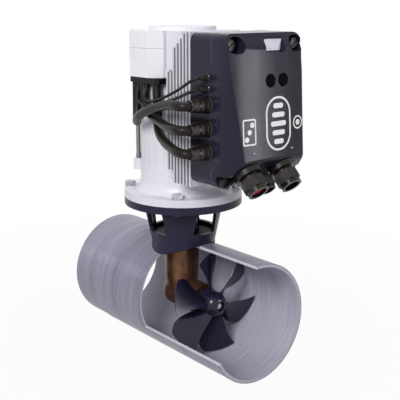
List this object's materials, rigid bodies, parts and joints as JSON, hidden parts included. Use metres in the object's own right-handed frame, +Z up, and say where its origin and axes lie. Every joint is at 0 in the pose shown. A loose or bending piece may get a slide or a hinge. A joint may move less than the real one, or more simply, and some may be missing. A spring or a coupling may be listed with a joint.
{
  "type": "electric bow thruster",
  "caption": "Tunnel thruster with an electric motor on a windowed bracket, a bevel gear leg, a bladed propeller in a cut-away tube and a motor controller on a heat sink.",
  "frame": {"origin": "centre of the tunnel's whole end face, on the tunnel's axis", "axes": "+X along the tunnel towards the end that is cut open, +Z up along the motor shaft, +Y to the side away from the cable loops"},
  "size_m": [0.4364, 0.2336, 0.5635],
  "materials": {
    "glass_fibre": "filament-wound, satin",
    "black_rubber": "matte",
    "navy_paint": "satin enamel on cast aluminium",
    "bronze": "cast bronze, satin",
    "steel": "machined",
    "gear_steel": "hardened, ground",
    "white_paint": "gloss enamel on cast aluminium",
    "laminations": "stacked sheet",
    "copper": "enamelled wire",
    "stainless": "rolled, bright",
    "white_plastic": "moulded, semi-gloss",
    "brass": "machined",
    "silver_paint": "anodised, satin",
    "navy_plastic": "moulded, fine grain",
    "black_plastic": "moulded, satin",
    "red_rubber": "matte",
    "grey_rubber": "matte",
    "board_green": "laminate",
    "polymer": "elastomer",
    "magnet": "nickel plated",
    "navy_paint_soft": "moulded composite, satin"
  },
  "bodies": {
    "root": {"tunnel": "glass_fibre", "saddle_gasket": "black_rubber", "bracket": "navy_paint", "gear_leg": "bronze", "bearing_spacer": "steel", "leg_seal_housing": "bronze", "pod_seal_housing": "bronze", "shaft_seals": "black_rubber", "drive_line_bearing_outer_rings": "gear_steel", "propeller_bearing_outer_rings": "gear_steel", "motor_foot": "white_paint", "motor_frame": "white_paint", "stator_core": "laminations", "stator_windings": "copper", "tie_rods": "stainless", "end_shield": "white_paint", "end_shield_lid": "white_paint", "terminal_box": "white_plastic", "terminal_lid": "white_plastic", "cable_plate": "black_rubber", "cable_lugs": "brass", "heat_sink": "silver_paint", "controller_base": "navy_plastic", "controller_gasket": "black_rubber", "controller_cover": "navy_plastic", "cover_plate": "stainless", "cover_screws": "black_plastic", "data_sockets": "black_plastic", "gland_bodies": "black_plastic", "gland_nuts": "black_plastic", "gland_seal_red": "red_rubber", "gland_seals": "black_rubber", "cable_boots": "black_rubber", "motor_cable_1": "black_rubber", "motor_cable_2": "black_rubber", "motor_cable_3": "black_rubber", "sensor_lead_1": "grey_rubber", "sensor_lead_2": "grey_rubber", "flange_washers": "stainless", "flange_bolts": "stainless", "leg_bolts": "stainless", "power_modules": "black_plastic", "circuit_board": "board_green", "capacitors": "silver_paint"},
    "drive_line": {"drive_line_bearing_inner_rings": "gear_steel", "bevel_pinion": "gear_steel", "drive_shaft": "stainless", "coupling_lower": "steel", "coupling_upper": "steel", "coupling_spider": "polymer", "rotor_core": "laminations", "rotor_magnets": "magnet", "motor_shaft": "steel"},
    "propeller_line": {"propeller_bearing_inner_rings": "gear_steel", "crown_gear": "gear_steel", "propeller_shaft": "stainless", "drive_pin": "stainless", "propeller": "navy_paint_soft", "propeller_nut": "stainless"}
  },
  "joints": [
    {"name": "motor_spin", "type": "hinge", "parent": "root", "child": "drive_line", "pos_m": [0.2025, 0, 0.2], "axis": [0, 0, 1], "continuous": true},
    {"name": "propeller_spin", "type": "hinge", "parent": "root", "child": "propeller_line", "pos_m": [0.2025, 0, 0], "axis": [1, 0, 0], "continuous": true}
  ],
  "couplings": [
    {"joint": "propeller_spin", "follows": "motor_spin", "ratio": -0.56}
  ]
}
